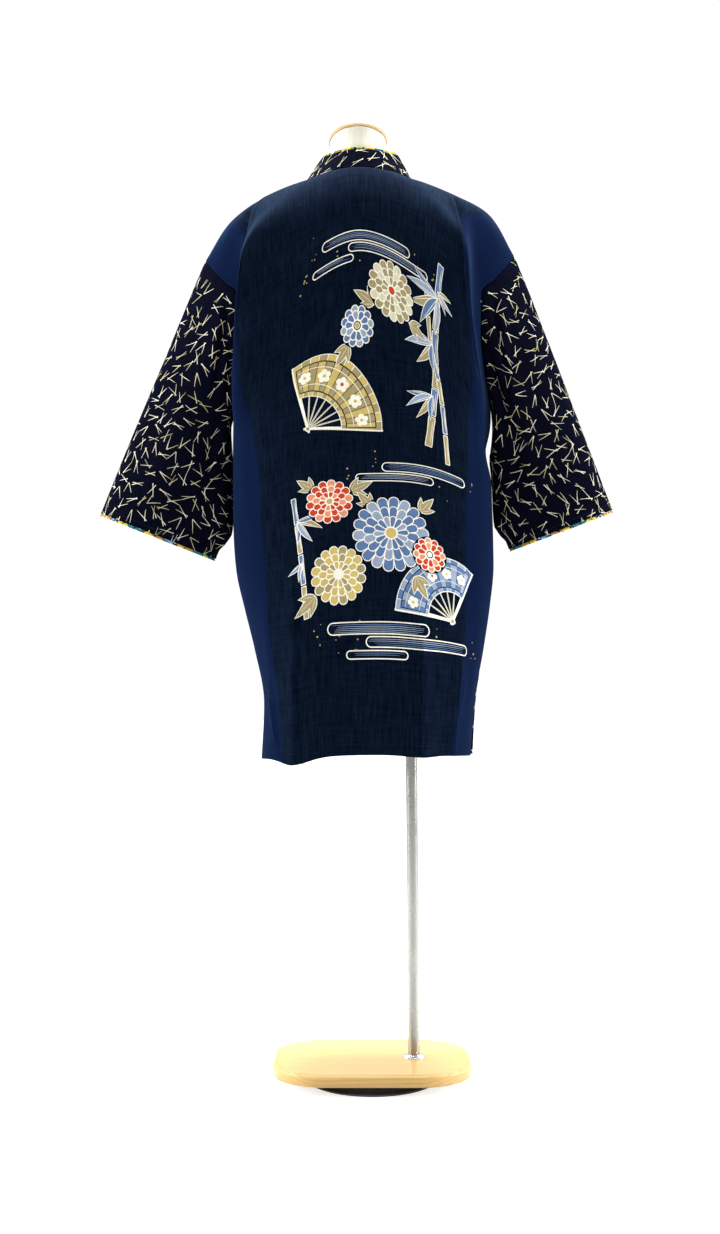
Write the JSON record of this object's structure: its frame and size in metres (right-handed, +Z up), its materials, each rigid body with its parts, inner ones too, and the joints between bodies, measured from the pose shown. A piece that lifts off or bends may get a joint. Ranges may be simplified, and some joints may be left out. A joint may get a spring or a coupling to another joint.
{
  "type": "happi coat on a limbless dress form",
  "caption": "Straight-cut happi coat with hanging sleeves and a folded collar band, worn by a limbless dress form on an off-centre pole, a wooden board and a round foot.",
  "frame": {"origin": "middle of the foot disc's underside, on the floor", "axes": "+Z up; the coat's back faces +Y and its front -Y; the wearer's left is +X"},
  "size_m": [0.8125, 0.2821, 1.5013],
  "materials": {
    "navy_slub": "matt slub cotton with plain royal blue side panels",
    "needle_print": "matt dark navy cotton printed with cream pine needles",
    "lining": "matt printed cotton in several colours",
    "linen": "taut cream linen",
    "pine": "clear satin varnish",
    "steel": "satin nickel",
    "chrome": "polished",
    "dark_foot": "dark grey, satin"
  },
  "bodies": {
    "root": {"back": "navy_slub", "base_board": "pine", "collar_band": "needle_print", "collar_lining": "lining", "cuff_facing_left": "lining", "cuff_facing_right": "lining", "dress_form": "linen", "flange": "chrome", "foot_disc": "dark_foot", "front_left": "navy_slub", "front_right": "navy_slub", "neck_cap": "pine", "pole": "steel", "set_screw": "chrome", "sleeve_left": "needle_print", "sleeve_right": "needle_print"}
  },
  "joints": []
}
